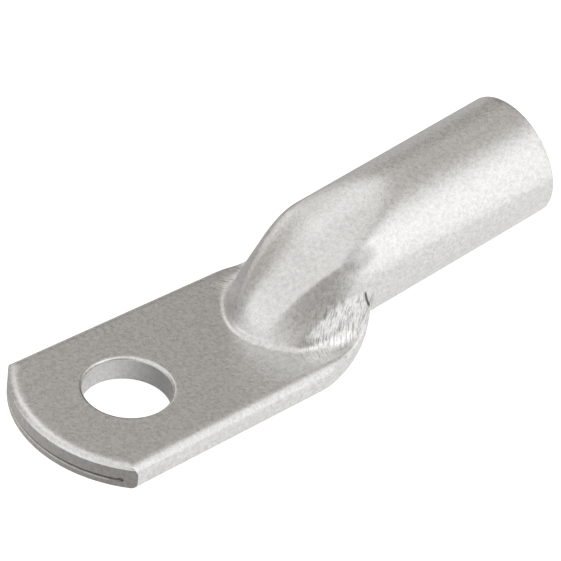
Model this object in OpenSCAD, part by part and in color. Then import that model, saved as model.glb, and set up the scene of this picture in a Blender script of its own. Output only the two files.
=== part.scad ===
// Tinned copper tube lug. One length of round copper tube is pressed flat at one end
// into a palm with a bolt hole, and stays round and open at the other for the conductor.
// X runs from the tip of the palm to the mouth of the barrel, and Z is up. The origin
// is the middle of the bolt hole, on the underside of the palm.

/* [Barrel] */
// Outer diameter of the round barrel
barrel_d = 12.4; // [9.5:0.1:16]
// Wall thickness of the barrel
wall = 1.3; // [0.8:0.1:2]
// Length of the barrel along its underside, from the heel to the mouth
barrel_len = 27.6; // [14:0.2:60]
// Angle at which the barrel rises from the plane of the palm
barrel_tilt = 6.1; // [0:0.1:12]

/* [Palm] */
// Width of the palm across the bolt hole
palm_w = 18.6; // [15:0.2:24]
// Thickness of the palm, which is the two flattened walls together
palm_t = 2.6; // [1.8:0.1:3.6]
// Angle at which each side of the palm closes towards the barrel
palm_taper = 1.1; // [0:0.1:3]
// Distance from the middle of the bolt hole to the tip of the palm
tip_reach = 10.5; // [8:0.5:16]
// Radius of the arc that ends the palm
tip_r = 13.1; // [11:0.1:26]
// Diameter of the bolt hole
bolt_d = 8.5; // [4.3:0.1:10.5]

/* [Edges] */
// Radius of the upper edge along the sides of the palm
side_r = 1.1; // [0.3:0.1:1.3]
// Radius of the lower edge along the sides of the palm
under_r = 1; // [0.3:0.1:1.3]
// Radius of the upper edge at the tip, drawn down where the tip was cut off
tip_roll = 0.5; // [0.1:0.1:0.9]
// Radius of the upper edge of the bolt hole, drawn down by the punch
hole_roll = 0.2; // [0.1:0.1:0.6]

/* [Seam] */
// Height of the seam between the two flattened walls above the underside at the tip
seam_z = 0.8; // [0.4:0.1:1.4]
// Open width of the seam
seam_gap = 0.12; // [0.06:0.02:0.3]
// Depth to which the seam stands open behind the tip
seam_depth = 0.5; // [0.2:0.1:1.5]
// Diameter of the eye that the fold leaves at each end of the seam
eye_d = 0.36; // [0.2:0.02:0.6]

/* [Shoulder] */
// Distance from the bolt hole to the front of the shoulder
shoulder_x = 13.7; // [11:0.1:16]
// How far the shoulder's crease sweeps back between the middle and the sides of the palm
crease_sweep = 6; // [3:0.5:8]
// Distance over which the crease is rounded into the top of the palm
crease_round = 0.6; // [0.2:0.1:0.9]
// How far ahead of the end of the crease the sides of the palm start to turn up
side_lead = 2.5; // [1:0.5:4]
// Distance from the bolt hole to the heel, where the barrel leaves the plane of the palm
heel_x = 20.8; // [19.4:0.1:26]
// Length from the heel to the start of the fully round barrel
shoulder_run = 4.2; // [3:0.1:8]

/* [Hidden] */

$fn = 96;
flat_steps = 13;
round_steps = 5;
crease_rings = 3;
shoulder_rings = 16;
cavity_steps = 24;
cavity_rings = 12;

barrel_r = barrel_d / 2;
bore_r = barrel_r - wall;
seat_x = shoulder_x - 1;
crease_end_x = shoulder_x + crease_sweep;
upper_r = min(side_r, 0.45 * palm_t);
lower_r = min(under_r, 0.45 * palm_t);
roll_tip = min(tip_roll, 0.45 * palm_t);
roll_hole = min(hole_roll, 0.45 * palm_t);
mid_z = palm_t / 2;
// Steps that keep one surface just inside the next, and cuts clear of a face
tuck = 0.006;
lap = 0.3;
slit = 0.05;
clear = 1;

// Stations along half of the section, from the middle of the top round to the middle of
// the underside: 0 to 1 is the flat top, 1 to 2 the rounded side, 2 to 3 the flat sole.
TOP = 0;
RIM = 1;
SIDE = 1.5;
SOLE_EDGE = 2;
SOLE = 3;
stations = concat(
    [for (i = [0 : flat_steps - 1]) TOP + i / flat_steps],
    [for (i = [0 : round_steps]) RIM + (SIDE - RIM) * i / round_steps],
    [for (i = [0 : round_steps]) SIDE + (SOLE_EDGE - SIDE) * (i + 1) / (round_steps + 1)],
    [for (i = [1 : flat_steps]) SOLE_EDGE + i / flat_steps]
);

// How each run of the shoulder leaves the palm and comes into the barrel, as shares of
// the way between them: [station, [x, y, z] on leaving, [x, y, z] on arriving]
RUNS = [
    [TOP, [0.12, 0, 0.50], [0.46, 0, 0]],
    [0.6, [0.23, -0.15, 0.44], [0.44, 0, 0]],
    [RIM, [0.71, 0.43, 0.03], [0.16, 0.31, 0.33]],
    [SIDE, [0.78, 0.36, 0.02], [0.07, 0.22, 0.47]],
    [SOLE_EDGE, [0.74, 0.43, 0], [0.15, 0.24, 0.34]],
    [SOLE, [0.30, 0, 0], [0.50, 0, 0]]
];
LEAVE = 1;
ARRIVE = 2;
// Angle from the top of the barrel that the palm's rim runs to, and how the stations
// crowd towards it on either side
rim_angle = 91;
top_crowd = 2.2;
under_crowd = 1.8;
// How close to the rim the rounded crease stays square to its own line
rim_hold = 6;
sole_angle = 180;

function half_w(x) = palm_w / 2 - x * tan(palm_taper);
function smooth(t) = t * t * (3 - 2 * t);
function mix(a, b, t) = a + (b - a) * t;

// Share vector of the shoulder's runs at station u
function run_share(u, kind) =
    let (k = [for (i = [0 : len(RUNS) - 2]) if (u >= RUNS[i][0]) i], i = k[len(k) - 1])
    mix(RUNS[i][kind], RUNS[i + 1][kind], smooth((u - RUNS[i][0]) / (RUNS[i + 1][0] - RUNS[i][0])));

// Angle round the barrel, from its top, that station u runs to
function barrel_angle(u) = u < RIM
    ? rim_angle * (1 - pow(1 - u, top_crowd))
    : mix(rim_angle, sole_angle, pow((u - RIM) / (SOLE - RIM), under_crowd));

// Point on the shoulder's section at station u, just inside the palm's, where the palm
// is w to each side
side_gap = (SOLE_EDGE - SIDE) / (round_steps + 1);
function section_point(u, w) =
    u <= RIM ? [(w - upper_r) * u, palm_t - tuck]
    : u <= SIDE ? let (a = 90 * (SIDE - u) / (SIDE - RIM), r = upper_r - tuck)
        [w - upper_r + r * cos(a), palm_t - upper_r + r * sin(a)]
    : u <= SOLE_EDGE ? let (
            a = -90 * (u - SIDE - side_gap) / (SOLE_EDGE - SIDE - side_gap),
            r = lower_r - tuck
        )
        [w - lower_r + r * cos(a), lower_r + r * sin(a)]
    : [(w - lower_r) * (SOLE - u), tuck];

// Where the shoulder leaves the palm, on the crease, the rim and the sole
function foot_x(u) = u <= RIM
    ? shoulder_x + crease_sweep * u * u
    : crease_end_x - side_lead * smooth(min(1, (u - RIM) / (SIDE - RIM)));
function foot_w(u) = half_w(u <= RIM ? crease_end_x : foot_x(u));
function foot(u) = let (p = section_point(u, foot_w(u))) [foot_x(u), p[0], p[1]];
function seat(u) = let (x = seat_x - lap, p = section_point(u, half_w(x) - tuck)) [x, p[0], p[1]];

// Level direction in which the palm runs into the shoulder: square to the crease on top,
// and along the side at the rim
function inward(u) =
    let (square = u <= RIM ? -2 * crease_sweep * u / (foot_w(u) - upper_r) : 0)
    let (lean = square * (1 - pow(min(u, RIM), rim_hold)))
    [1, lean, 0] / norm([1, lean, 0]);

axis_dir = [cos(barrel_tilt), 0, sin(barrel_tilt)];
axis_up = [-sin(barrel_tilt), 0, cos(barrel_tilt)];

// Point at angle a and radius r round the barrel's axis, s along it from the heel
function barrel_point(s, a, r) =
    [heel_x, 0, 0] + axis_dir * s + axis_up * (barrel_r + r * cos(a)) + [0, r * sin(a), 0];

function bezier(a, b, c, d, t) =
    a * pow(1 - t, 3) + b * 3 * t * pow(1 - t, 2) + c * 3 * t * t * (1 - t) + d * pow(t, 3);

// One run of a skin from foot a to barrel point d at station u, at t along it
function run_point(a, d, u, t) =
    let (
        way = d - a,
        out = run_share(u, LEAVE),
        home = run_share(u, ARRIVE),
        b = a + [out[0] * way[0], out[1] * way[1], out[2] * way[2]],
        c = d - axis_dir * home[0] * way[0] - [0, home[1] * way[1], home[2] * way[2]]
    )
    bezier(a, b, c, d, t);

function skin_end(u) = barrel_point(shoulder_run - lap / 2, barrel_angle(u), barrel_r - tuck);
function skin_point(u, t) = run_point(foot(u), skin_end(u), u, t);

// Share of a run that the rounded crease takes up
function crease_share(u) =
    let (way = skin_end(u) - foot(u), out = run_share(u, LEAVE))
    crease_round / 3 / norm([out[0] * way[0], out[1] * way[1], out[2] * way[2]]);

// Point on the rounded crease, t from the flat of the palm to the rise of the shoulder
function crease_point(u, t) =
    let (a = foot(u) - inward(u) * crease_round, c = skin_point(u, crease_share(u)))
    a * pow(1 - t, 2) + foot(u) * 2 * t * (1 - t) + c * t * t;

// A closed ring from its half: out one side and back the other
function closed(half) = concat(
    half,
    [for (i = [len(half) - 2 : -1 : 1]) [half[i][0], -half[i][1], half[i][2]]]
);

skin_rings = concat(
    [closed([for (u = stations) seat(u)])],
    [for (k = [0 : crease_rings - 1]) closed([for (u = stations) crease_point(u, k / crease_rings)])],
    [for (k = [0 : shoulder_rings])
        closed([for (u = stations) skin_point(u, mix(crease_share(u), 1, k / shoulder_rings))])],
    [closed([for (u = stations)
        barrel_point(shoulder_run + lap / 2, barrel_angle(u), barrel_r - 2 * tuck)])]
);

// The hollow closes down from the bore to the seam between the two flattened walls.
// Its front edge follows the crease, one wall behind it.
cavity_angles = [for (i = [0 : cavity_steps]) sole_angle * i / cavity_steps];
cavity_half_w = half_w(crease_end_x) - palm_t / 2 - wall / 2;
// Station of the skin outside a point at angle a round the cavity
function cavity_station(a) = a < rim_angle
    ? RIM - pow(1 - a / rim_angle, 1 / top_crowd)
    : mix(RIM, SOLE, pow((a - rim_angle) / (sole_angle - rim_angle), 1 / under_crowd));
function cavity_foot(a) = [
    shoulder_x + wall + crease_sweep * pow(sin(a), 2),
    cavity_half_w * sin(a),
    mid_z + slit * cos(a)
];
function cavity_point(a, t) = run_point(
    cavity_foot(a), barrel_point(shoulder_run - lap / 2, a, bore_r - tuck), cavity_station(a), t
);
cavity_skin = concat(
    [for (k = [0 : cavity_rings])
        closed([for (a = cavity_angles) cavity_point(a, k / cavity_rings)])],
    [closed([for (a = cavity_angles) barrel_point(shoulder_run + lap / 2, a, bore_r - 2 * tuck)])]
);

// Solid between the first and the last of a list of rings with as many points each. Half
// a ring is half points. The first ring is closed by strips between its top and its
// underside, and the last one is flat.
module lofted(rings) {
    n = len(rings[0]);
    half = n / 2 + 1;
    last = (len(rings) - 1) * n;
    walls = [
        for (r = [0 : len(rings) - 2], i = [0 : n - 1])
            let (a = r * n + i, b = r * n + (i + 1) % n)
            each [[a, b, b + n], [a, b + n, a + n]]
    ];
    front = [
        for (i = [0 : ceil(half / 2) - 2])
            let (a = i, b = i + 1, c = half - 2 - i, d = half - 1 - i)
            each concat(
                [[a, d, b], [(n - a) % n, n - b, n - d]],
                b == c ? [] : [[b, d, c], [n - b, n - c, n - d]]
            )
    ];
    back = [[for (i = [0 : n - 1]) last + i]];
    polyhedron(points = [for (r = rings) each r], faces = concat(walls, front, back));
}

// Places its children in the barrel's frame, with Z along the axis from the heel
module along_barrel() {
    translate([heel_x, 0, 0]) rotate([0, 90 - barrel_tilt, 0])
        translate([-barrel_r, 0, 0]) children();
}

// Section of one side of the palm, its upper and lower edge rounded
module side_section() {
    side = palm_w / 2 * cos(palm_taper);
    translate([-palm_w, lower_r]) square([palm_w + side - upper_r, palm_t - lower_r]);
    translate([-palm_w, 0]) square([palm_w + side - lower_r, palm_t - upper_r]);
    translate([0, lower_r]) square([side, palm_t - upper_r - lower_r]);
    translate([side - upper_r, palm_t - upper_r]) circle(upper_r);
    translate([side - lower_r, lower_r]) circle(lower_r);
}

// Bar as long as the palm that has its side on the left, looking along X
module side_bar() {
    reach = tip_reach + clear;
    rotate([0, 0, -palm_taper]) translate([-reach - clear, 0, 0])
        rotate([90, 0, 90]) linear_extrude(reach + seat_x + 3 * clear) side_section();
}

// Plan of the palm up to the shoulder, with the arc and the rolled edge of the tip
module tip_form() {
    corner_x = tip_r - sqrt(pow(tip_r, 2) - pow(half_w(-tip_reach), 2)) - tip_reach;
    translate([tip_r - tip_reach, 0, 0]) rotate_extrude() {
        translate([0, -clear]) square([tip_r, palm_t - roll_tip + clear]);
        translate([0, -clear]) square([tip_r - roll_tip, palm_t + clear]);
        translate([tip_r - roll_tip, palm_t - roll_tip]) circle(roll_tip);
    }
    translate([corner_x, -palm_w, -clear]) cube([tip_reach + seat_x, 2 * palm_w, palm_t + clear]);
}

module palm() {
    intersection() {
        side_bar();
        mirror([0, 1, 0]) side_bar();
        tip_form();
        translate([-tip_reach - clear, -palm_w, -clear])
            cube([tip_reach + clear + seat_x, 2 * palm_w, palm_t + 2 * clear]);
    }
}

// Bolt hole with the rolled edge that the punch left on top
module bolt_hole() {
    translate([0, 0, -clear]) cylinder(h = palm_t + 2 * clear, d = bolt_d);
    translate([0, 0, palm_t - roll_hole]) rotate_extrude() difference() {
        square([bolt_d / 2 + roll_hole, roll_hole + clear]);
        translate([bolt_d / 2 + roll_hole, 0]) circle(roll_hole);
    }
}

// The open seam at the tip, with the eye of the fold at each end
module seam() {
    seam_half_w = half_w(-tip_reach) - wall;
    translate([0, 0, seam_z - seam_gap / 2]) linear_extrude(seam_gap) difference() {
        translate([-tip_reach - clear, -seam_half_w]) square([tip_r, 2 * seam_half_w]);
        translate([tip_r - tip_reach, 0]) circle(tip_r - seam_depth);
    }
    for (side = [-1, 1])
        translate([-tip_reach, side * seam_half_w, seam_z]) rotate([0, 90, 0])
            cylinder(h = tip_r - sqrt(pow(tip_r, 2) - pow(seam_half_w, 2)) + 2 * seam_depth, d = eye_d);
}

module shoulder() {
    lofted(skin_rings);
}

module barrel() {
    along_barrel() translate([0, 0, shoulder_run])
        cylinder(h = barrel_len - shoulder_run, r = barrel_r);
}

module hollow() {
    along_barrel() translate([0, 0, shoulder_run])
        cylinder(h = barrel_len - shoulder_run + clear, r = bore_r);
    lofted(cavity_skin);
}

module cable_lug() {
    color("silver") difference() {
        union() {
            palm();
            shoulder();
            barrel();
        }
        hollow();
        bolt_hole();
        seam();
    }
}

cable_lug();
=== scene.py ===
"""Visual model of a tinned copper tube lug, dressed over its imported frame.

The lug is one length of copper tube, pressed flat into a palm with a bolt hole and left
round at the barrel. One closed skin is lofted from the tip of the palm, over the folded
shoulder, along the barrel and back down its bore, and takes the place of the solid.
"""

import logging
import math
from dataclasses import dataclass, field
from enum import Enum
from functools import reduce

import bmesh
import bpy
import numpy as np
from mathutils import Matrix, Vector


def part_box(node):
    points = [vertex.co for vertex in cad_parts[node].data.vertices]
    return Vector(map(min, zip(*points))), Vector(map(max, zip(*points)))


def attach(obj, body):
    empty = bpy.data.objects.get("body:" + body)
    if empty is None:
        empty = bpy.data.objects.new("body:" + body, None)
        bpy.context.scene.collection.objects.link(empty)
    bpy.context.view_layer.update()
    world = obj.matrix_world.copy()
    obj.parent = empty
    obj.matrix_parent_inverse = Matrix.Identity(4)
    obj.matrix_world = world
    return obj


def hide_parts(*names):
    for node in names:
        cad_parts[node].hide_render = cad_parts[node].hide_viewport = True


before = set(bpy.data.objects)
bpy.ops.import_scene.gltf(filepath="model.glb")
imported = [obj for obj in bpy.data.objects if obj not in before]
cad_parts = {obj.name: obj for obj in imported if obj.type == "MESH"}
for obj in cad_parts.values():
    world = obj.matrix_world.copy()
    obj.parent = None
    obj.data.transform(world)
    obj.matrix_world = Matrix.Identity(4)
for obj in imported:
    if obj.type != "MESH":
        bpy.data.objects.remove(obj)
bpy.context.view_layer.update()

MM = 0.001
NODE = "cable_lug"
BODY = "root"

Array = np.ndarray
Socket = bpy.types.NodeSocket
Triple = tuple[float, float, float]
Limits = tuple[float, float, float, float]

log = logging.getLogger("cable_lug")


class Zone(Enum):
    """Parts of the skin that have a finish of their own."""

    SKIN = 0
    SHEARED = 1
    PUNCHED = 2
    BORE = 3


class Kind(Enum):
    """Which share of a run a table lookup wants."""

    LEAVE = 1
    ARRIVE = 2


@dataclass(frozen=True)
class LugSizes:
    """Sizes of the lug, in millimetres and degrees, in the part's own frame."""

    barrel_d: float = 12.4
    wall: float = 1.3
    barrel_len: float = 27.6
    barrel_tilt: float = 6.1
    palm_w: float = 18.6
    palm_t: float = 2.6
    palm_taper: float = 1.1
    tip_reach: float = 10.5
    tip_r: float = 13.1
    bolt_d: float = 8.5
    # Radii of the palm's upper and lower side edges.
    side_r: float = 1.1
    under_r: float = 0.6
    # Drop of the tip's upper edge, and the distance it drops over at the far and near sides.
    tip_roll: float = 0.45
    tip_ease_far: float = 1.15
    tip_ease_near: float = 0.6
    hole_roll: float = 0.3
    # The open seam across the tip, with the eye of the fold at each end.
    seam_z: float = 0.8
    seam_gap: float = 0.12
    seam_depth: float = 0.5
    eye_d: float = 0.44
    # The crease across the palm, and how far ahead of its ends the sides start to fold.
    shoulder_x: float = 13.7
    crease_sweep: float = 6.0
    crease_round: float = 0.6
    side_lead: float = 2.5
    # The heel of the barrel, and how far from it the shoulder reaches the round.
    heel_x: float = 20.8
    shoulder_run: float = 4.2
    # Where the palm's rim runs to round the barrel, and how the other runs gather there.
    rim_angle: float = 91.0
    top_crowd: float = 2.2
    under_crowd: float = 1.8
    rim_hold: float = 6.0
    # The pressed saddle: its far end, its fall, its radius across and its soft edge.
    press_end: float = 11.0
    press_slope: float = 0.17
    press_r: float = 16.0
    press_edge: float = 0.12
    # How far the web folds in, and how far past the shoulder the flanks run, round one angle.
    web_reach: float = 0.6
    flank_lead: float = 0.9
    flank_turn: float = 68.0
    flank_spread: float = 15.0
    # Turned edge under the tip and the hole, rounded edges of the mouth, and half the
    # height left where the hollow closes.
    burr: float = 0.08
    mouth_r: float = 0.14
    slit: float = 0.05

    @property
    def barrel_r(self) -> float:
        """Outer radius of the barrel."""
        return self.barrel_d / 2

    @property
    def bore_r(self) -> float:
        """Radius of the barrel's bore."""
        return self.barrel_r - self.wall

    @property
    def crease_end_x(self) -> float:
        """Where the crease meets the sides of the palm."""
        return self.shoulder_x + self.crease_sweep

    def half_w(self, x: Array) -> Array:
        """Half the palm's width at the distance x from the bolt hole."""
        return self.palm_w / 2 - x * math.tan(math.radians(self.palm_taper))


@dataclass(frozen=True)
class Density:
    """How finely each stretch of the skin is divided."""

    top_wide: int = 38
    top_close: int = 10
    corner: int = 10
    face: int = 20
    hole_rows: int = 56
    lead_rows: int = 14
    tail_rows: int = 26
    roll_rows: int = 7
    crease_rows: int = 8
    shoulder_rows: int = 56
    barrel_rows: int = 40
    mouth_rows: int = 5
    bore_rows: int = 20
    cavity_rows: int = 16
    hole_rings: int = 9
    hole_roll_rows: int = 6
    hole_wall_rows: int = 10

    @property
    def patch(self) -> int:
        """Stations that the bolt hole's open patches reach to each side of the middle."""
        return self.hole_rows // 2


def smooth(t: Array) -> Array:
    """Eases a share from 0 to 1 in and out."""
    return t * t * (3 - 2 * t)


def mix(a: Array, b: Array, t: Array) -> Array:
    """Goes from a to b by the share t."""
    return a + (b - a) * t


def steps(count: int) -> list[float]:
    """Shares at the end of each of count equal steps."""
    return [k / count for k in range(1, count + 1)]


@dataclass
class Section:
    """Stations round the lug, from the middle of the top to the middle of the sole.

    FACE_LEVELS divides the sides, closest at the seam. Each of RUNS holds a station with
    the x, y and z shares of the way that a run takes on leaving and on arriving there.
    """

    RIM = 1.0
    SIDE = 1.5
    SOLE_EDGE = 2.0
    SOLE = 3.0
    TOP_CLOSE = 0.9
    SIDE_GAP = 0.5 / 6
    FACE_LEVELS = (
        0.0, 0.10, 0.20, 0.30, 0.40, 0.48, 0.55, 0.59, 0.615, 0.635, 0.65,
        0.665, 0.68, 0.70, 0.73, 0.77, 0.82, 0.88, 0.93, 0.97, 1.0,
    )
    RUNS = (
        (0.0, (0.12, 0.0, 0.50), (0.46, 0.0, 0.0)),
        (0.6, (0.23, 0.30, 0.46), (0.44, 0.0, 0.0)),
        (0.85, (0.40, 0.24, 0.17), (0.30, 0.10, 0.20)),
        (1.0, (0.71, 0.43, 0.03), (0.16, 0.31, 0.33)),
        (1.5, (0.78, 0.36, 0.02), (0.07, 0.22, 0.47)),
        (2.0, (0.74, 0.43, 0.0), (0.15, 0.24, 0.34)),
        (3.0, (0.30, 0.0, 0.0), (0.50, 0.0, 0.0)),
    )

    sizes: LugSizes
    density: Density

    def __post_init__(self) -> None:
        """Lays out the stations."""
        density = self.density
        top = np.concatenate([
            np.linspace(0, self.TOP_CLOSE, density.top_wide, endpoint=False),
            np.linspace(self.TOP_CLOSE, self.RIM, density.top_close, endpoint=False),
        ])
        upper = np.linspace(self.RIM, self.SIDE, density.corner, endpoint=False)
        face = self.SIDE + self.SIDE_GAP * np.array(self.FACE_LEVELS)
        low_start = self.SIDE + self.SIDE_GAP
        lower = low_start + (self.SOLE_EDGE - low_start) * np.array(steps(density.corner))
        sole = self.SOLE - top[::-1]
        self.u = np.concatenate([top, upper, face, lower, sole])
        self.top_count = len(top)
        self.half = len(self.u)
        self.ring = 2 * self.half - 2
        self.column_end = self.top_count + density.corner

    def outline(self, half_width: Array) -> tuple[Array, Array]:
        """The flat palm's section.

        Args:
            half_width: Half the palm's width at each station.

        Returns:
            The stations' y and z.
        """
        s = self.sizes
        u = self.u
        low_start = self.SIDE + self.SIDE_GAP
        up = np.radians(90 * (self.SIDE - u) / (self.SIDE - self.RIM))
        low = np.radians(-90 * (u - low_start) / (self.SOLE_EDGE - low_start))
        level = (u - self.SIDE) / self.SIDE_GAP
        stretches = [u <= self.RIM, u <= self.SIDE, u <= low_start, u <= self.SOLE_EDGE]
        y = np.select(stretches, [
            (half_width - s.side_r) * u,
            half_width - s.side_r + s.side_r * np.cos(up),
            half_width,
            half_width - s.under_r + s.under_r * np.cos(low),
        ], (half_width - s.under_r) * (self.SOLE - u))
        z = np.select(stretches, [
            np.full_like(u, s.palm_t),
            s.palm_t - s.side_r + s.side_r * np.sin(up),
            mix(s.palm_t - s.side_r, s.under_r, level),
            s.under_r + s.under_r * np.sin(low),
        ], np.zeros_like(u))
        return y, z

    def share(self, kind: Kind) -> Array:
        """Shares of the way that the shoulder's runs take at each station.

        Args:
            kind: On leaving the palm or on arriving at the barrel.

        Returns:
            One row of x, y and z shares for each station.
        """
        painted_light = np.array([row[0] for row in self.RUNS])
        values = np.array([row[kind.value] for row in self.RUNS])
        i = np.clip(np.searchsorted(painted_light, self.u, side="right") - 1, 0, len(painted_light) - 2)
        t = smooth((self.u - painted_light[i]) / (painted_light[i + 1] - painted_light[i]))[:, None]
        return mix(values[i], values[i + 1], t)

    def barrel_angle(self) -> Array:
        """Angle round the barrel, from its top, that each station runs to.

        Returns:
            The angles in radians.
        """
        s = self.sizes
        over = s.rim_angle * (1 - np.abs(1 - np.minimum(self.u, 1)) ** s.top_crowd)
        under = mix(s.rim_angle, 180.0, (np.maximum(self.u - 1, 0) / 2) ** s.under_crowd)
        return np.radians(np.where(self.u < self.RIM, over, under))

    def closed(self, half: Array) -> Array:
        """A whole ring from its half.

        Args:
            half: The ring's points on the +Y side.

        Returns:
            The ring, out one side and back the other.
        """
        back = half[-2:0:-1].copy()
        back[:, 1] *= -1
        return np.concatenate([half, back])


@dataclass
class LugForm:
    """Every row of the lug's skin, in millimetres.

    LEAST_UPRIGHT is how far round the barrel the saddle can reach, FREE the clearance that
    stands for none of it, and FLAT the exponent that its soft edge is held to. WEB_START,
    WEB_RISE, WEB_END and WEB_FALL are stations and spans of stations. HOLE_REACH is half
    the length of the hole's patch, in hole widths, and the CROWD values gather the rows.
    """

    LEAST_UPRIGHT = 0.2
    FREE = 9.0
    FLAT = 60
    WEB_START = 0.58
    WEB_RISE = 0.30
    WEB_END = 1.5
    WEB_FALL = 0.6
    HOLE_REACH = 0.66
    LEAD_CROWD = 1.3
    TAIL_CROWD = 1.35
    TIP_PASSES = 4

    sizes: LugSizes
    density: Density

    def __post_init__(self) -> None:
        """Prepares the stations round the lug and the barrel's directions."""
        self.section = Section(self.sizes, self.density)
        tilt = math.radians(self.sizes.barrel_tilt)
        self.axis = np.array([math.cos(tilt), 0.0, math.sin(tilt)])
        self.up = np.array([-math.sin(tilt), 0.0, math.cos(tilt)])
        self.angle = self.section.barrel_angle()

    def seat(self) -> Array:
        """Where the shoulder's skin reaches the barrel, along its axis, at each station.

        Returns:
            The distances from the heel.
        """
        s = self.sizes
        turn = (np.degrees(self.angle) - s.flank_turn) / s.flank_spread
        return s.shoulder_run + s.flank_lead * np.exp(-turn * turn)

    def barrel_ring(self, along: Array, radius: float) -> Array:
        """Half a ring round the barrel's axis.

        Args:
            along: Distance along the axis from the heel, at each station.
            radius: Radius of the ring.

        Returns:
            The ring's points on the +Y side.
        """
        s = self.sizes
        heel = np.array([s.heel_x, 0.0, 0.0])
        along = np.broadcast_to(along, self.angle.shape)
        radius = radius - self.pressed(along)
        out = self.up * (s.barrel_r + radius * np.cos(self.angle))[:, None]
        across = np.array([0.0, 1.0, 0.0]) * (radius * np.sin(self.angle))[:, None]
        return heel + self.axis * along[:, None] + out + across

    def pressed(self, along: Array) -> Array:
        """How far the shallow pressed saddle lowers the barrel towards the shoulder.

        Args:
            along: Distance along the axis from the heel, at each station.

        Returns:
            The loss of radius at each station.
        """
        s = self.sizes
        upright = np.cos(self.angle)
        y = s.barrel_r * np.sin(self.angle)
        level = s.barrel_r - s.press_slope * (s.press_end - along) - y**2 / (2 * s.press_r)
        risen = level / np.maximum(upright, self.LEAST_UPRIGHT) - s.barrel_r
        free = np.where(upright > self.LEAST_UPRIGHT, risen, self.FREE)
        return s.press_edge * np.log1p(np.exp(np.clip(-free / s.press_edge, -self.FLAT, self.FLAT)))

    def arriving(self) -> Array:
        """Directions in which the shoulder's skin runs on to the barrel.

        Returns:
            One direction for each station.
        """
        s = self.sizes
        step = 0.01
        after = self.barrel_ring(self.seat() + step, s.barrel_r)
        before = self.barrel_ring(self.seat() - step, s.barrel_r)
        return (after - before) / (2 * step)

    def foot(self) -> Array:
        """Where the shoulder leaves the palm, on the crease, the rim and the sole.

        Returns:
            One point for each station.
        """
        s, sec = self.sizes, self.section
        lead = smooth(np.clip((sec.u - sec.RIM) / (sec.SIDE - sec.RIM), 0, 1))
        top = sec.u <= sec.RIM
        x = np.where(top, s.shoulder_x + s.crease_sweep * sec.u**2, s.crease_end_x - s.side_lead * lead)
        y, z = sec.outline(s.half_w(np.where(top, s.crease_end_x, x)))
        return np.stack([x, y, z], axis=1)

    def inward(self) -> Array:
        """Level directions in which the palm runs into the shoulder.

        Returns:
            One direction for each station.
        """
        s, sec = self.sizes, self.section
        w = s.half_w(np.array(s.crease_end_x)) - s.side_r
        square = np.where(sec.u <= sec.RIM, -2 * s.crease_sweep * sec.u / w, 0.0)
        lean = square * (1 - np.minimum(sec.u, sec.RIM) ** s.rim_hold)
        way = np.stack([np.ones_like(lean), lean, np.zeros_like(lean)], axis=1)
        return way / np.linalg.norm(way, axis=1)[:, None]

    def run(self, start: Array, end: Array, t: Array) -> Array:
        """Points along the runs from the palm to the barrel.

        Args:
            start: Where each run starts.
            end: Where each run ends.
            t: Share of the way along each run.

        Returns:
            One point for each station.
        """
        leave = self.section.share(Kind.LEAVE)
        arrive = self.section.share(Kind.ARRIVE)
        way = end - start
        b = start + leave * way + self.web()
        side = arrive * way
        side[:, 0] = 0.0
        c = end - self.arriving() * (arrive[:, 0] * way[:, 0])[:, None] - side
        t = np.broadcast_to(t, self.section.u.shape)[:, None]
        return start * (1 - t) ** 3 + b * 3 * t * (1 - t) ** 2 + c * 3 * t * t * (1 - t) + end * t**3

    def web(self) -> Array:
        """Pull that folds the skin in between the crease and the rim.

        Returns:
            One shift for each station.
        """
        s, u = self.sizes, self.section.u
        comes = smooth(np.clip((u - self.WEB_START) / self.WEB_RISE, 0, 1))
        goes = smooth(np.clip((self.WEB_END - u) / self.WEB_FALL, 0, 1))
        return np.stack([np.zeros_like(u), -s.web_reach * (comes * goes), np.zeros_like(u)], axis=1)

    def palm_rows(self) -> list[Array]:
        """Rows of the flat palm, from the arc of the tip to the crease.

        Returns:
            The rows, with each point's distance in from the tip's edge beside it.
        """
        s, sec, d = self.sizes, self.section, self.density
        end = self.foot() - self.inward() * s.crease_round
        roll = s.tip_ease_far * (1 - np.cos(np.linspace(0, math.pi / 2, d.roll_rows)))
        before = -self.HOLE_REACH * s.bolt_d
        after = self.HOLE_REACH * s.bolt_d
        middle_end = end[0, 0]
        lead = mix(roll[-1] - s.tip_reach, before, np.linspace(0, 1, d.lead_rows) ** self.LEAD_CROWD)
        hole = np.linspace(before, after, d.hole_rows + 1)
        tail = mix(after, middle_end, 1 - (1 - np.linspace(0, 1, d.tail_rows)) ** self.TAIL_CROWD)
        middle = np.concatenate([roll - s.tip_reach, lead[1:], hole[1:], tail[1:]])
        self.hole_first = len(roll) + len(lead) - 2
        self.hole_last = self.hole_first + d.hole_rows
        share = (middle + s.tip_reach) / (middle_end + s.tip_reach)
        x_tip = np.full_like(sec.u, -s.tip_reach)
        for _ in range(self.TIP_PASSES):
            y, _z = sec.outline(s.half_w(x_tip))
            x_tip = s.tip_r - s.tip_reach - np.sqrt(s.tip_r**2 - y**2)
        rows = []
        drift = end[:, 1] - sec.outline(s.half_w(end[:, 0]))[0]
        for v in share:
            x = mix(x_tip, end[:, 0], v)
            y, z = sec.outline(s.half_w(x))
            y = y + drift * v**3
            inside = s.tip_r - np.hypot(np.minimum(x - (s.tip_r - s.tip_reach), 0), y)
            z = np.maximum(z, s.burr * self.rolled(inside / s.burr))
            rows.append(np.stack([x, y, z, inside], axis=1))
        return rows

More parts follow.
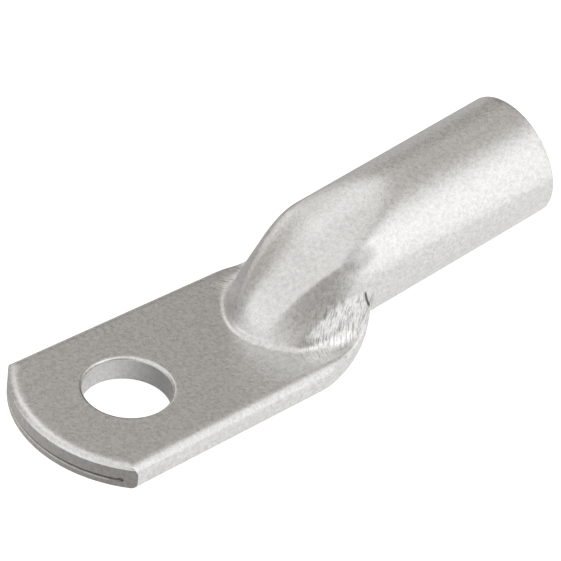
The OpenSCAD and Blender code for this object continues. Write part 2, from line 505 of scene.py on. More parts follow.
    def eased(self, ring: Array) -> Array:
        """A whole ring with the tip's upper edge rolled over, wider on the far side.

        Args:
            ring: Points of the ring, with the distance in from the tip's edge beside them.

        Returns:
            The points.
        """
        s = self.sizes
        points = ring[:, :3].copy()
        ease = mix(s.tip_ease_near, s.tip_ease_far, np.clip(points[:, 1] / s.palm_w + 0.5, 0, 1))
        points[:, 2] = np.minimum(points[:, 2], s.palm_t - s.tip_roll * self.rolled(ring[:, 3] / ease))
        return points

    @staticmethod
    def rolled(inside: Array) -> Array:
        """Share of its drop that a rounded edge has made, by the share of its reach inside it."""
        short = 1 - np.clip(inside, 0, 1)
        return 1 - np.sqrt(1 - short**2)

    def crease_share(self, end: Array) -> Array:
        """Share of each run, by where it ends on the barrel, that the rounded crease takes up."""
        way = (end - self.foot()) * self.section.share(Kind.LEAVE)
        return self.sizes.crease_round / 3 / np.linalg.norm(way, axis=1)

    def shoulder_rows(self) -> list[Array]:
        """Rows of the rounded crease and of the shoulder up to the round barrel.

        Returns:
            The rows' points.
        """
        s, d = self.sizes, self.density
        foot = self.foot()
        end = self.barrel_ring(self.seat(), s.barrel_r)
        share = self.crease_share(end)
        flat = foot - self.inward() * s.crease_round
        rise = self.run(foot, end, share)
        rows = []
        for t in steps(d.crease_rows):
            rows.append(flat * (1 - t) ** 2 + foot * 2 * t * (1 - t) + rise * t * t)
        for t in steps(d.shoulder_rows):
            rows.append(self.run(foot, end, mix(share, 1.0, t)))
        return rows

    def barrel_rows(self) -> list[Array]:
        """Rows along the barrel and round the edges of its mouth.

        Returns:
            The rows' points.
        """
        s, d = self.sizes, self.density
        far = s.barrel_len - s.mouth_r
        rows = [self.barrel_ring(mix(self.seat(), far, t), s.barrel_r) for t in steps(d.barrel_rows)]
        quarter = [math.pi / 2 * t for t in steps(d.mouth_rows)]
        outer = s.barrel_r - s.mouth_r
        inner = s.bore_r + s.mouth_r
        for a in quarter:
            radius = s.barrel_r - s.mouth_r * (1 - math.cos(a))
            rows.append(self.barrel_ring(far + s.mouth_r * math.sin(a), radius))
        for t in steps(d.mouth_rows):
            rows.append(self.barrel_ring(s.barrel_len, mix(outer, inner, t)))
        for a in quarter:
            radius = s.bore_r + s.mouth_r * (1 - math.sin(a))
            rows.append(self.barrel_ring(far + s.mouth_r * math.cos(a), radius))
        return rows

    def bore_rows(self) -> list[Array]:
        """Rows back down the bore and the hollow that closes inside the shoulder.

        Returns:
            The rows' points.
        """
        s, d = self.sizes, self.density
        far = s.barrel_len - s.mouth_r
        rows = [self.barrel_ring(mix(far, s.shoulder_run, t), s.bore_r) for t in steps(d.bore_rows)]
        end = self.barrel_ring(s.shoulder_run, s.bore_r)
        width = s.half_w(np.array(s.crease_end_x)) - s.palm_t / 2 - s.wall / 2
        foot = np.stack([
            s.shoulder_x + s.wall + s.crease_sweep * np.sin(self.angle) ** 2,
            width * np.sin(self.angle),
            s.palm_t / 2 + s.slit * np.cos(self.angle),
        ], axis=1)
        for t in steps(d.cavity_rows):
            rows.append(self.run(foot, end, 1 - t))
        return rows


@dataclass
class SkinMesh:
    """Collects the skin's points and faces, with the zone of each face."""

    points: list[Array] = field(default_factory=list)
    faces: list[tuple[int, ...]] = field(default_factory=list)
    zones: list[Zone] = field(default_factory=list)
    count: int = 0

    def add_points(self, points: Array) -> Array:
        """Adds points.

        Args:
            points: One row for each point, in millimetres.

        Returns:
            Their numbers.
        """
        first = self.count
        self.points.append(np.asarray(points, float))
        self.count += len(points)
        return np.arange(first, self.count)

    def add_faces(self, faces: list[tuple[int, ...]], zone: Zone) -> None:
        """Adds faces of one zone, each as the point numbers round it."""
        self.faces.extend(faces)
        self.zones.extend([zone] * len(faces))

    def bridge(
        self, a: Array, b: Array, zone: Zone, loop: bool = True, skip: frozenset[int] = frozenset()
    ) -> None:
        """Joins two rows of points that have as many each.

        Args:
            a: Point numbers of the first row.
            b: Point numbers of the second row.
            zone: The finish of the faces.
            loop: Whether the rows close on themselves.
            skip: Places along the rows that stay open.
        """
        n = len(a)
        pairs = [(i, (i + 1) % n) for i in range(n if loop else n - 1) if i not in skip]
        self.add_faces([(int(a[i]), int(a[j]), int(b[j]), int(b[i])) for i, j in pairs], zone)

    def to_object(self, name: str) -> bpy.types.Object:
        """Makes the Blender object.

        Args:
            name: Name of the piece.

        Returns:
            The object, in metres.
        """
        mesh = bpy.data.meshes.new(name)
        points = np.concatenate(self.points) * MM
        mesh.from_pydata(points.tolist(), [], self.faces)
        mesh.polygons.foreach_set("material_index", [zone.value for zone in self.zones])
        shell = bmesh.new()
        shell.from_mesh(mesh)
        bmesh.ops.delete(shell, geom=[v for v in shell.verts if not v.link_faces], context="VERTS")
        bmesh.ops.recalc_face_normals(shell, faces=shell.faces)
        shell.to_mesh(mesh)
        shell.free()
        mesh.polygons.foreach_set("use_smooth", [True] * len(mesh.polygons))
        mesh.update()
        piece = bpy.data.objects.new(name, mesh)
        bpy.context.scene.collection.objects.link(piece)
        return piece


@dataclass
class LugSkin:
    """The lug's closed skin as one piece.

    SLOT_EDGE and SLOT_SOFT shape how the seam and the eyes fade in, LOOP_START is the
    angle at which the hole's outline starts, and FAN_CROWD gathers rings to the hole.
    """

    SLOT_EDGE = 1.25
    SLOT_SOFT = 0.75
    LOOP_START = -135.0
    FAN_CROWD = 1.4

    sizes: LugSizes
    density: Density

    def __post_init__(self) -> None:
        """Prepares the form and an empty mesh."""
        self.form = LugForm(self.sizes, self.density)
        self.mesh = SkinMesh()

    def build(self) -> bpy.types.Object:
        """Lofts the whole skin.

        Returns:
            The lug's object.
        """
        sec = self.form.section
        palm = self.form.palm_rows()
        shoulder = self.form.shoulder_rows()
        barrel = self.form.barrel_rows()
        bore = self.form.bore_rows()
        rings = [self.mesh.add_points(self.form.eased(sec.closed(row))) for row in palm]
        rings += [self.mesh.add_points(sec.closed(row)) for row in shoulder + barrel + bore]
        bored = len(palm) + len(shoulder) + len(barrel)
        openings = self.openings()
        for k in range(len(rings) - 1):
            zone = Zone.BORE if k >= bored - 1 else Zone.SKIN
            beside = self.form.hole_first <= k < self.form.hole_last
            self.mesh.bridge(rings[k], rings[k + 1], zone, skip=openings if beside else frozenset())
        self.tip_face(rings[0])
        self.slit_end(rings[-1])
        self.bolt_hole(rings)
        return self.mesh.to_object("tinned_lug")

    def openings(self) -> frozenset[int]:
        """Places round a ring that stay open beside the bolt hole, on top and on the sole."""
        sec, patch = self.form.section, self.density.patch
        return frozenset((middle + i) % sec.ring for middle in (0, sec.half - 1) for i in range(-patch, patch))

    def tip_face(self, ring: Array) -> None:
        """Closes the tip with the sheared face, its open seam and the fold's eyes.

        Args:
            ring: Point numbers of the first ring.
        """
        s, sec = self.sizes, self.form.section
        levels = np.array(sec.FACE_LEVELS)
        last = sec.column_end
        points = np.concatenate(self.mesh.points)
        columns = {}
        for i in range(-last, last + 1):
            top = ring[i % sec.ring]
            low = ring[(sec.half - 1 - i) % sec.ring]
            if abs(i) == last:
                step = 1 if i > 0 else -1
                columns[i] = np.array([ring[(i + step * k) % sec.ring] for k in range(len(levels))])
                continue
            inner = mix(points[top][None, :], points[low][None, :], levels[1:-1, None])
            inner[:, 0] += self.seam_depth(inner[:, 1], inner[:, 2])
            columns[i] = np.concatenate([[top], self.mesh.add_points(inner), [low]])
        for i in range(-last, last):
            self.mesh.bridge(columns[i], columns[i + 1], Zone.SHEARED, loop=False)

    def seam_depth(self, y: Array, z: Array) -> Array:
        """How far the sheared face is cut back by the seam and the eyes.

        Args:
            y: Distance across the palm.
            z: Height above the sole.

        Returns:
            The depth at each point.
        """
        s = self.sizes
        half = float(s.half_w(np.array(-s.tip_reach))) - s.wall
        across = np.clip((half - np.abs(y)) / (2 * s.seam_gap), 0, 1)
        slot = np.clip(self.SLOT_EDGE - np.abs(z - s.seam_z) / (s.seam_gap * self.SLOT_SOFT), 0, 1) * across
        eye = np.clip(self.SLOT_EDGE - np.hypot(np.abs(y) - half, z - s.seam_z) / (s.eye_d / 2), 0, 1)
        return s.seam_depth * np.maximum(smooth(slot), smooth(eye))

    def slit_end(self, ring: Array) -> None:
        """Closes the end of the hollow between the two flattened walls.

        Args:
            ring: Point numbers of the last ring.
        """
        sec = self.form.section
        half = sec.half
        faces = []
        for i in range((half - 1) // 2):
            corners = (i, i + 1, half - 2 - i, half - 1 - i)
            for sign in (1, -1):
                loop = [int(ring[(sign * k) % sec.ring]) for k in corners]
                trimmed = tuple(dict.fromkeys(loop))
                if len(trimmed) > 2:
                    faces.append(trimmed)
        self.mesh.add_faces(faces, Zone.BORE)

    def bolt_hole(self, rings: list[Array]) -> None:
        """Fills the open patches round the bolt hole and builds its wall.

        Args:
            rings: Point numbers of every ring.
        """
        s, d, sec = self.sizes, self.density, self.form.section
        patch = d.patch
        first, last = self.form.hole_first, self.form.hole_last
        loop = [(first, i) for i in range(-patch, patch)]
        loop += [(k, patch) for k in range(first, last)]
        loop += [(last, i) for i in range(patch, -patch, -1)]
        loop += [(k, -patch) for k in range(last, first, -1)]
        upper = np.array([rings[k][i % sec.ring] for k, i in loop])
        lower = np.array([rings[k][(sec.half - 1 - i) % sec.ring] for k, i in loop])
        points = np.concatenate(self.mesh.points)
        turn = np.radians(self.LOOP_START - 360.0 * np.arange(len(loop)) / len(loop))
        round_dir = np.stack([np.cos(turn), np.sin(turn), np.zeros_like(turn)], axis=1)
        radius = s.bolt_d / 2
        previous = self.fan_in(upper, points[upper], round_dir * (radius + s.hole_roll) + [0, 0, s.palm_t])
        levels = []
        for a in [math.pi / 2 * t for t in steps(d.hole_roll_rows)]:
            level = s.palm_t - s.hole_roll * (1 - math.cos(a))
            levels.append((radius + s.hole_roll * (1 - math.sin(a)), level, Zone.SKIN))
        for t in steps(d.hole_wall_rows):
            levels.append((radius, mix(s.palm_t - s.hole_roll, s.burr, t), Zone.PUNCHED))
        for reach, level, zone in levels:
            ring = self.mesh.add_points(round_dir * reach + [0, 0, level])
            self.mesh.bridge(previous, ring, zone)
            previous = ring
        target = self.fan_in(lower, points[lower], round_dir * (radius + s.burr))
        self.mesh.bridge(previous, target, Zone.PUNCHED)

    def fan_in(self, loop: Array, outer: Array, inner: Array) -> Array:
        """Fills a flat patch between its outline and a circle.

        Args:
            loop: Point numbers of the outline.
            outer: The outline's points.
            inner: The circle's points.

        Returns:
            Point numbers of the circle.
        """
        previous = loop
        for t in steps(self.density.hole_rings):
            ring = self.mesh.add_points(mix(outer, inner, 1 - (1 - t) ** self.FAN_CROWD))
            self.mesh.bridge(previous, ring, Zone.SKIN)
            previous = ring
        return previous


class NodeGraph:
    """Shader nodes of a material or of the world, wired in code."""

    def __init__(self, owner: bpy.types.ID, place: str = "Object") -> None:
        """Takes up the owner's nodes.

        Args:
            owner: The material or the world.
            place: The coordinates that the nodes work in.
        """
        owner.use_nodes = True
        self.tree = owner.node_tree
        self.place = self.add("ShaderNodeTexCoord").outputs[place]

    def add(self, kind: str, **values: object) -> bpy.types.Node:
        """Adds a node.

        Args:
            kind: The node's type.
            values: Properties to set on it.

        Returns:
            The node.
        """
        node = self.tree.nodes.new(kind)
        for key, value in values.items():
            setattr(node, key, value)
        return node

    def link(self, source: Socket, target: Socket) -> None:
        """Joins two sockets."""
        self.tree.links.new(source, target)

    def fed(self, kind: str, source: Socket, entry: str, **inputs: float) -> bpy.types.Node:
        """Adds a node with one linked input.

        Args:
            kind: The node's type.
            source: What is linked to it.
            entry: Name of the input that it goes to.
            inputs: Values of other inputs, by name.

        Returns:
            The node.
        """
        node = self.add(kind)
        for key, value in inputs.items():
            node.inputs[key].default_value = value
        self.link(source, node.inputs[entry])
        return node

    def noise(self, scale: float, detail: float, rough: float) -> Socket:
        """Smooth noise over the piece.

        Args:
            scale: Cells for each metre.
            detail: Octaves.
            rough: Strength of the finer octaves.

        Returns:
            The noise, from 0 to 1.
        """
        values = {"Scale": scale, "Detail": detail, "Roughness": rough}
        return self.fed("ShaderNodeTexNoise", self.place, "Vector", **values).outputs["Fac"]

    def parts(self) -> tuple[Socket, Socket, Socket]:
        """The three parts of the coordinates."""
        return tuple(self.fed("ShaderNodeSeparateXYZ", self.place, "Vector").outputs)

    def mirrored(self) -> tuple[Socket, Socket, Socket]:
        """X, the distance from the middle plane, and Z."""
        x, y, z = self.parts()
        return x, self.math("ABSOLUTE", y), z

    def math(self, kind: str, *terms: Socket | float) -> Socket:
        """One arithmetic step.

        Args:
            kind: The operation.
            terms: Sockets or constants that it takes.

        Returns:
            The result.
        """
        node = self.add("ShaderNodeMath", operation=kind)
        for slot, term in enumerate(terms):
            if isinstance(term, (int, float)):
                node.inputs[slot].default_value = term
            else:
                self.link(term, node.inputs[slot])
        return node.outputs[0]

    def product(self, *terms: Socket | float) -> Socket:
        """The terms multiplied in order."""
        return reduce(lambda total, term: self.math("MULTIPLY", total, term), terms)

    def ramp(
        self, source: Socket, low: float, high: float, start: float = 0.0, end: float = 1.0, eased: bool = False
    ) -> Socket:
        """Maps one range on to another.

        Args:
            source: The value to map.
            low: Start of its range.
            high: End of its range.
            start: Result at low.
            end: Result at high.
            eased: Whether the result eases in and out.

        Returns:
            The mapped value.
        """
        values = {"From Min": low, "From Max": high, "To Min": start, "To Max": end}
        node = self.fed("ShaderNodeMapRange", source, "Value", **values)
        node.interpolation_type = "SMOOTHSTEP" if eased else "LINEAR"
        return node.outputs["Result"]

    def window(self, source: Socket, limits: Limits) -> Socket:
        """A share that comes and goes over a distance.

        Args:
            source: The distance, in metres.
            limits: Where it starts, is whole, starts to fade and is gone, in millimetres.

        Returns:
            The share.
        """
        out, full, still, gone = (limit * MM for limit in limits)
        rise = self.ramp(source, out, full, eased=True)
        return self.product(rise, self.ramp(source, still, gone, 1.0, 0.0, eased=True))

    def tint(self, source: Socket, dark: Triple, light: Triple) -> Socket:
        """Colour between two tones.

        Args:
            source: Share of the light tone.
            dark: The dark tone.
            light: The light tone.

        Returns:
            The colour.
        """
        node = self.add("ShaderNodeMix", data_type="RGBA")
        node.inputs[6].default_value = (*dark, 1.0)
        node.inputs[7].default_value = (*light, 1.0)
        self.link(source, node.inputs[0])
        return node.outputs[2]

    def shaded(self, colour: Socket, share: Socket) -> Socket:
        """A colour made darker or lighter.

        Args:
            colour: The colour.
            share: Share of it to keep.

        Returns:
            The result.
        """
        node = self.add("ShaderNodeVectorMath", operation="SCALE")
        self.link(colour, node.inputs[0])
        self.link(share, node.inputs["Scale"])
        return node.outputs[0]

    def bump(self, source: Socket, height: float, below: Socket | None = None) -> Socket:
        """Tilts the shading as if the surface were raised by a value.

        Args:
            source: The value, from 0 to 1.
            height: Height in metres at 1.
            below: Normal that this one is laid on.

        Returns:
            The normal.
        """
        node = self.fed("ShaderNodeBump", source, "Height", Distance=height, Strength=1.0)
        if below is not None:
            self.link(below, node.inputs["Normal"])
        return node.outputs["Normal"]


@dataclass(frozen=True)
class PaintedLightSweep:
    """Change of tone across a sheared or punched face, painted light and shade for the reflections that change
    across it.

    along weighs X and Y, start and end are distances in millimetres, and low and high are
    the shares of the finish's own tone that they get.
    """

    along: tuple[float, float]
    start: float
    end: float
    low: float
    high: float

    def share(self, graph: NodeGraph) -> Socket:
        """Builds the painted light and shade.

        Args:
            graph: The material's nodes.

        Returns:
            The share of the finish's tone at each place.
        """
        x, y, _z = graph.parts()
        way = graph.math("ADD", graph.product(x, self.along[0]), graph.product(y, self.along[1]))
        return graph.ramp(way, self.start * MM, self.end * MM, self.low, self.high, eased=True)


@dataclass(frozen=True)
class PaintedLightLine:
    """Fine straight line on both sides of the middle plane, in millimetres: painted shade where its tone is below
    1, a painted highlight where it is above.

    The line lies where X plus slope times Z comes to place. It is whole within half of
    that and gone at FADE times half. reach holds the distances from the middle plane and
    rise the heights at which it comes and goes.
    """

    FADE = 2.4

    place: float
    slope: float
    half: float
    reach: Limits
    rise: Limits
    tone: float

    def share(self, graph: NodeGraph) -> Socket:
        """Builds the line.

        Args:
            graph: The material's nodes.

        Returns:
            The share of the finish's tone on and off the line.
        """
        x, out, z = graph.mirrored()
        off = graph.math("ADD", x, graph.product(z, self.slope))
        off = graph.math("ABSOLUTE", graph.math("SUBTRACT", off, self.place * MM))
        drawn = graph.ramp(off, self.half * MM, self.FADE * self.half * MM, 1.0, 0.0, eased=True)
        drawn = graph.product(drawn, graph.window(out, self.reach), graph.window(z, self.rise))
        return graph.ramp(drawn, 0.0, 1.0, 1.0, self.tone)


@dataclass(frozen=True)
class PaintedShadePatch:
    """Soft patch of painted shade on both sides of the middle plane, in millimetres.

    WHOLE and GONE are the squares of the distance from the centre, in shares of reach,
    at which the patch starts to fade and ends.
    """

    WHOLE = 0.1
    GONE = 1.3

    centre: Triple
    reach: Triple
    tone: float

    def share(self, graph: NodeGraph) -> Socket:
        """Builds the patch.

        Args:
            graph: The material's nodes.

        Returns:
            The share of the finish's tone on and off the patch.
        """
        total = 0.0
        for part, middle, far in zip(graph.mirrored(), self.centre, self.reach):
            away = graph.math("DIVIDE", graph.math("SUBTRACT", part, middle * MM), far * MM)
            total = graph.math("ADD", graph.product(away, away), total)
        return graph.ramp(total, self.WHOLE, self.GONE, self.tone, 1.0, eased=True)


@dataclass(frozen=True)
class Wrinkles:
    """Fine upright wrinkles pressed into the folds on each side of the shoulder.

    height is in metres, across and up are the ways in which fine and coarse count the
    cells for each metre, and bounds says where the wrinkles come and go along X, out from
    the middle plane and up. Their tone is painted light: it runs from the crests' painted
    highlight less shade, where the pattern is at deep or below, to that highlight, where it
    is at crest or above, so the grooves get painted shade.
    """

    height: float = 0.00005
    shade: float = 0.5
    crest_highlight: float = 1.2
    deep: float = 0.38
    crest: float = 0.5
    across: Triple = (0.91, 0.36, -0.2)
    up: Triple = (0.2, -0.37, 0.9)
    fine: float = 5200.0
    coarse: float = 800.0
    bounds: tuple[Limits, ...] = ((15.4, 17.6, 23.2, 24.2), (4.4, 5.7, 7.0, 7.6), (2.3, 2.5, 6.2, 7.8))
    pattern: tuple[tuple[str, float], ...] = (
        ("Scale", 1.0), ("Detail", 2.0), ("Roughness", 0.55), ("Distortion", 0.35),
    )

    def ridges(self, graph: NodeGraph) -> Socket:
        """The wrinkles themselves.

        Args:
            graph: The material's nodes.

        Returns:
            Their height, from 0 to 1.
        """
        first, *others = graph.mirrored()
        drawn = graph.add("ShaderNodeCombineXYZ")
        for slot, (way, scale) in enumerate(((self.across, self.fine), (self.up, self.coarse))):
            total = graph.product(first, way[0] * scale)
            for part, weight in zip(others, way[1:]):
                total = graph.math("ADD", total, graph.product(part, weight * scale))
            graph.link(total, drawn.inputs[slot])
        return graph.fed("ShaderNodeTexNoise", drawn.outputs[0], "Vector", **dict(self.pattern)).outputs["Fac"]

    def laid(self, graph: NodeGraph, colour: Socket, normal: Socket) -> tuple[Socket, Socket]:
        """Lays the wrinkles on a finish.

        Args:
            graph: The material's nodes.
            colour: The finish's colour.
            normal: The finish's normal.

        Returns:
            Both with the wrinkles.
        """
        windows = (graph.window(part, limits) for part, limits in zip(graph.mirrored(), self.bounds))
        share = graph.product(*windows)
        ridges = self.ridges(graph)
        # Painted shade in the grooves and a painted highlight on the crests.
        lines = graph.ramp(ridges, self.deep, self.crest, self.crest_highlight - self.shade, self.crest_highlight)
        change = graph.product(share, graph.math("SUBTRACT", lines, 1.0))
        colour = graph.shaded(colour, graph.math("ADD", 1.0, change))
        return colour, graph.bump(graph.product(share, ridges), self.height, normal)


PaintedLight = PaintedLightSweep | PaintedLightLine | PaintedShadePatch


@dataclass(frozen=True)
class TinPlate:
    """Satin tin plating with a fine mottle, with any painted shade and highlights laid over its colour.

    mottle and grain are the heights in metres of two noises, CLOUD and FINE, each given as
    cells for each metre, octaves and their strength. WEIGHTS is each one's part in the
    mottle's tone, TONES and SHEEN the ranges of noise that colour and roughness run over.
    """

    CLOUD = (2400.0, 4.0, 0.62)
    FINE = (7000.0, 2.0, 0.6)
    WEIGHTS = (0.6, 0.4)
    TONES = (0.36, 0.64)
    SHEEN = (0.3, 0.7)

    name: str
    dark: Triple
    light: Triple
    rough_low: float
    rough_high: float
    mottle: float
    grain: float
    painted_light: tuple[PaintedLight, ...] = ()
    wrinkles: Wrinkles | None = None

    def material(self) -> bpy.types.Material:
        """Builds the finish.

        Returns:
            The material.
        """
        material = bpy.data.materials.new(self.name)
        graph = NodeGraph(material)
        shader = graph.tree.nodes["Principled BSDF"]
        shader.inputs["Metallic"].default_value = 1.0
        cloud = graph.noise(*self.CLOUD)
        fine = graph.noise(*self.FINE)
        speck = graph.math("ADD", graph.product(cloud, self.WEIGHTS[0]), graph.product(fine, self.WEIGHTS[1]))
        colour = graph.tint(graph.ramp(speck, *self.TONES), self.dark, self.light)
        normal = graph.bump(fine, self.grain, graph.bump(cloud, self.mottle))
        # Lays painted shade and highlights over the colour.
        for painted in self.painted_light:
            colour = graph.shaded(colour, painted.share(graph))
        if self.wrinkles is not None:
            colour, normal = self.wrinkles.laid(graph, colour, normal)
        graph.link(colour, shader.inputs["Base Color"])
        graph.link(graph.ramp(cloud, *self.SHEEN, self.rough_low, self.rough_high), shader.inputs["Roughness"])
        graph.link(normal, shader.inputs["Normal"])
        return material


@dataclass(frozen=True)
class Panel:
    """A round stretch of the tent round the lug that glows more or less than the rest.

    azimuth and elevation say where it hangs, in degrees from +X and from the floor, reach
    is half the angle that it fills, soft is half the width of its edge, and glow is what
    it adds to the tent's own brightness.
    """

    azimuth: float
    elevation: float
    reach: float
    soft: float
    glow: float

    def light(self, graph: NodeGraph) -> Socket:
        """Builds the panel.

        Args:
            graph: The world's nodes.

        Returns:
            What it adds in each direction.
        """
        turn, rise = math.radians(self.azimuth), math.radians(self.elevation)
        facing = graph.add("ShaderNodeVectorMath", operation="DOT_PRODUCT")
        facing.inputs[1].default_value = (
            math.cos(turn) * math.cos(rise), math.sin(turn) * math.cos(rise), math.sin(rise),
        )
        graph.link(graph.place, facing.inputs[0])
        away = graph.math("ARCCOSINE", facing.outputs["Value"])
        inner, outer = math.radians(self.reach - self.soft), math.radians(self.reach + self.soft)
        return graph.ramp(away, inner, outer, self.glow, 0.0, eased=True)


@dataclass(frozen=True)
class Studio:
    """Pale floor inside a tent of soft light.

    The tent is never darker than least, and its colour goes from shade to daylight over
    the brightness in warmth. The floor glows in reflections only by place: each glow is
    the distance in metres, from the lug's middle along X or Y, over which it comes or goes.
    """

    tent: float = 0.78
    least: float = 0.05
    warmth: tuple[float, float] = (0.4, 1.0)
    shade: Triple = (1.05, 1.0, 0.93)
    daylight: Triple = (1.01, 1.0, 0.985)
    floor_tone: float = 0.55
    floor_lift: float = 0.80
    floor_size: float = 8.0
    glow_right: tuple[float, float] = (-0.03, 0.06)
    glow_front: tuple[float, float] = (-0.035, -0.012)
    glow_near: tuple[float, float] = (-0.045, -0.018)
    glow_behind: tuple[float, float] = (0.006, 0.014)
    near_share: float = 0.65
    far_share: float = 0.09
    panels: tuple[Panel, ...] = (
        Panel(-175.0, 60.0, 69.0, 12.0, 0.13),
        Panel(-39.0, 17.0, 42.0, 18.0, 0.71),
        Panel(-1.0, -30.0, 71.0, 6.0, -0.29),
        Panel(75.0, 51.0, 13.0, 5.0, 0.34),
        Panel(-108.0, 8.0, 31.0, 9.0, -0.46),
        Panel(164.0, -28.0, 55.0, 5.0, 0.17),
        Panel(5.0, 26.0, 53.0, 3.5, -0.39),
        Panel(103.0, 16.0, 23.0, 17.0, -0.39),
        Panel(62.0, 76.0, 9.0, 6.0, 0.12),
    )

    def build(self, centre: Vector, floor_z: float) -> None:
        """Builds the surround.

        Args:
            centre: Middle of the lug.
            floor_z: Height of the floor.
        """
        self.surround()
        self.floor(centre, floor_z)

    def surround(self) -> None:
        """Lights from all round, each panel adding to the tent's even glow."""
        world = bpy.data.worlds.new("light_tent")
        bpy.context.scene.world = world
        graph = NodeGraph(world, "Generated")
        total = self.tent
        for panel in self.panels:
            total = graph.math("ADD", total, panel.light(graph))
        held = graph.math("MAXIMUM", total, self.least)
        glowing = graph.tree.nodes["Background"]
        graph.link(graph.tint(graph.ramp(held, *self.warmth), self.shade, self.daylight), glowing.inputs["Color"])
        graph.link(held, glowing.inputs["Strength"])
        backdrop = graph.add("ShaderNodeBackground")
        backdrop.inputs["Color"].default_value = (1.0, 1.0, 1.0, 1.0)
        path = graph.add("ShaderNodeLightPath")
        seen = graph.math("MAXIMUM", path.outputs["Is Camera Ray"], path.outputs["Is Transmission Ray"])
        either = graph.add("ShaderNodeMixShader")
        for slot, source in enumerate((seen, glowing.outputs[0], backdrop.outputs[0])):
            graph.link(source, either.inputs[slot])
        graph.link(either.outputs[0], graph.tree.nodes["World Output"].inputs["Surface"])

    def floor(self, centre: Vector, floor_z: float) -> bpy.types.Object:
        """A pale matt floor that keeps the lug's shadow.

        Args:
            centre: Middle of the lug.
            floor_z: Height of the floor.

        Returns:
            The floor.
        """
        half = self.floor_size / 2
        mesh = bpy.data.meshes.new("studio_floor")
        corners = [(-half, -half, 0.0), (half, -half, 0.0), (half, half, 0.0), (-half, half, 0.0)]
        mesh.from_pydata(corners, [], [(0, 1, 2, 3)])
        floor = bpy.data.objects.new("studio_floor", mesh)
        floor.location = (centre.x, centre.y, floor_z)
        bpy.context.scene.collection.objects.link(floor)
        paint = bpy.data.materials.new("studio_floor_paint")
        graph = NodeGraph(paint)
        graph.tree.nodes.remove(graph.tree.nodes["Principled BSDF"])
        matt = graph.add("ShaderNodeBsdfDiffuse")
        matt.inputs["Color"].default_value = (self.floor_tone, self.floor_tone, self.floor_tone, 1.0)
        lift = graph.add("ShaderNodeEmission")
        path = graph.add("ShaderNodeLightPath")
        x, y, _z = graph.parts()
        right = graph.ramp(x, *self.glow_right, eased=True)
        front = graph.ramp(y, *self.glow_front, 1.0, self.far_share, eased=True)
        near = graph.ramp(y, *self.glow_near, 0.0, self.near_share, eased=True)
        behind = graph.ramp(y, *self.glow_behind, 1.0, 0.0, eased=True)
        share = graph.math("MAXIMUM", graph.product(right, front), graph.product(near, behind))
        mirrored = graph.math("MAXIMUM", path.outputs["Is Glossy Ray"], path.outputs["Is Transmission Ray"])
        seen = graph.math("MAXIMUM", path.outputs["Is Camera Ray"], graph.product(mirrored, share))
        graph.link(graph.product(seen, self.floor_lift), lift.inputs["Strength"])
        both = graph.add("ShaderNodeAddShader")
        graph.link(matt.outputs["BSDF"], both.inputs[0])
        graph.link(lift.outputs["Emission"], both.inputs[1])
        graph.link(both.outputs["Shader"], graph.tree.nodes["Material Output"].inputs["Surface"])
        mesh.materials.append(paint)
        return floor


@dataclass(frozen=True)
class Viewpoint:
    """The camera's place and turn, in millimetres of the lug and degrees, and its lens."""

    eye: Triple = (-254.3, -272.6, 311.3)
    azimuth: float = 45.0
    elevation: float = 38.3
    roll: float = 6.36
    lens: float = 335.8
    sensor: float = 36.0

    def build(self) -> bpy.types.Object:
        """Places the camera.

        Returns:
            The camera.
        """
        turn, rise, lean = (math.radians(v) for v in (self.azimuth, self.elevation, self.roll))
        right = Vector((math.cos(turn), -math.sin(turn), 0.0))
        up = Vector((math.sin(turn) * math.sin(rise), math.cos(turn) * math.sin(rise), math.cos(rise)))
        back = Vector((-math.sin(turn) * math.cos(rise), -math.cos(turn) * math.cos(rise), math.sin(rise)))
        leaned_right = right * math.cos(lean) + up * math.sin(lean)
        leaned_up = up * math.cos(lean) - right * math.sin(lean)
        data = bpy.data.cameras.new("studio_camera")
        data.lens = self.lens
        data.sensor_width = self.sensor
        camera = bpy.data.objects.new("studio_camera", data)
        basis = Matrix((leaned_right, leaned_up, back)).transposed().to_4x4()
        basis.translation = Vector(self.eye) * MM
        camera.matrix_world = basis
        bpy.context.scene.collection.objects.link(camera)
        bpy.context.scene.camera = camera
        return camera


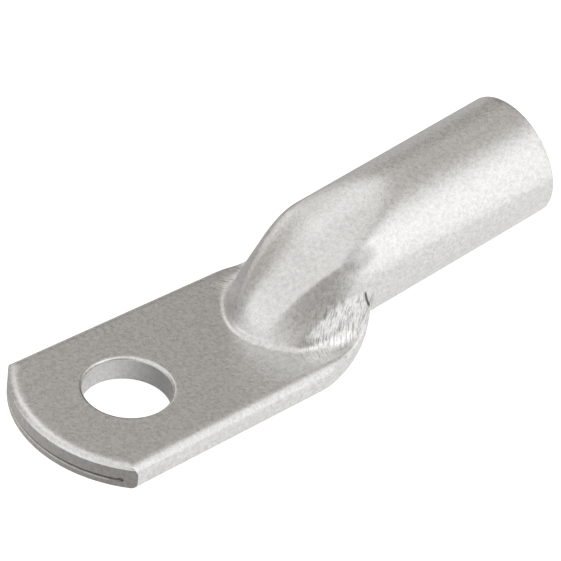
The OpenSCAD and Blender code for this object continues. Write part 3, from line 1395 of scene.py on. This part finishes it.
@dataclass
class DressedLug:
    """The lug's skin with a finish for each zone."""

    sizes: LugSizes = field(default_factory=LugSizes)
    density: Density = field(default_factory=Density)
    finishes: dict[Zone, TinPlate] = field(default_factory=lambda: {
        Zone.SKIN: TinPlate(
            "satin_tin", (0.62, 0.62, 0.615), (0.85, 0.85, 0.845), 0.25, 0.33, 0.000018, 0.000014,
            painted_light=(
                # Painted shade in the gap where the fold's edge meets the barrel.
                PaintedLightLine(25.28, 0.25, 0.07, (5.5, 5.9, 7.6, 8.0), (5.3, 5.7, 6.9, 7.3), 0.2),
                # Painted shade: a dull patch at the waist that carries on the band of shade.
                PaintedShadePatch((23.4, 4.85, 10.2), (2.2, 0.85, 1.5), 0.68),
            ),
            wrinkles=Wrinkles(),
        ),
        # The sheared face's dark tone is painted shade, for the dark floor that it reflects.
        Zone.SHEARED: TinPlate(
            "sheared_tin_painted_light", (0.30, 0.29, 0.275), (0.46, 0.45, 0.435), 0.5, 0.6, 0.00003, 0.00002,
            painted_light=(
                # Painted light and shade across the tip face.
                PaintedLightSweep((0.0, 1.0), -8.5, 8.5, 0.80, 1.24),
                # Painted highlight on the lip under the seam.
                PaintedLightLine(0.0, 0.0, 12.0, (-1.0, -0.5, 7.2, 7.6), (0.52, 0.60, 0.66, 0.74), 1.55),
            ),
        ),
        # The punched wall's darker tone is painted shade, for the shaded floor seen through the hole.
        Zone.PUNCHED: TinPlate(
            "punched_tin_painted_light", (0.44, 0.435, 0.425), (0.60, 0.595, 0.59), 0.38, 0.46, 0.00003, 0.00002,
            # Painted light and shade across the hole's wall, lighter on one side and darker on the other.
            painted_light=(PaintedLightSweep((1.0, -1.0), -4.5, 4.5, 1.32, 0.54),),
        ),
        Zone.BORE: TinPlate("bore_tin", (0.60, 0.60, 0.60), (0.72, 0.72, 0.725), 0.42, 0.52, 0.00004, 0.00002),
    })

    def build(self) -> bpy.types.Object:
        """Builds and dresses the lug.

        Returns:
            The lug's object.
        """
        piece = LugSkin(self.sizes, self.density).build()
        for zone in Zone:
            piece.data.materials.append(self.finishes[zone].material())
        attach(piece, BODY)
        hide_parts(NODE)
        return piece


def main() -> None:
    """Builds every piece in order and reports it."""
    logging.basicConfig(level=logging.INFO, format="%(name)s: %(message)s")
    bpy.context.scene.view_settings.view_transform = "Standard"
    low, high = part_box(NODE)
    lug = DressedLug().build()
    log.info("%s: %d faces", lug.name, len(lug.data.polygons))
    Studio().build((low + high) / 2, low.z)
    log.info("studio: floor at %.4f m", low.z)
    camera = Viewpoint().build()
    log.info("camera at %s", tuple(round(v, 3) for v in camera.location))
    bpy.context.view_layer.update()


if __name__ == "__main__":
    main()
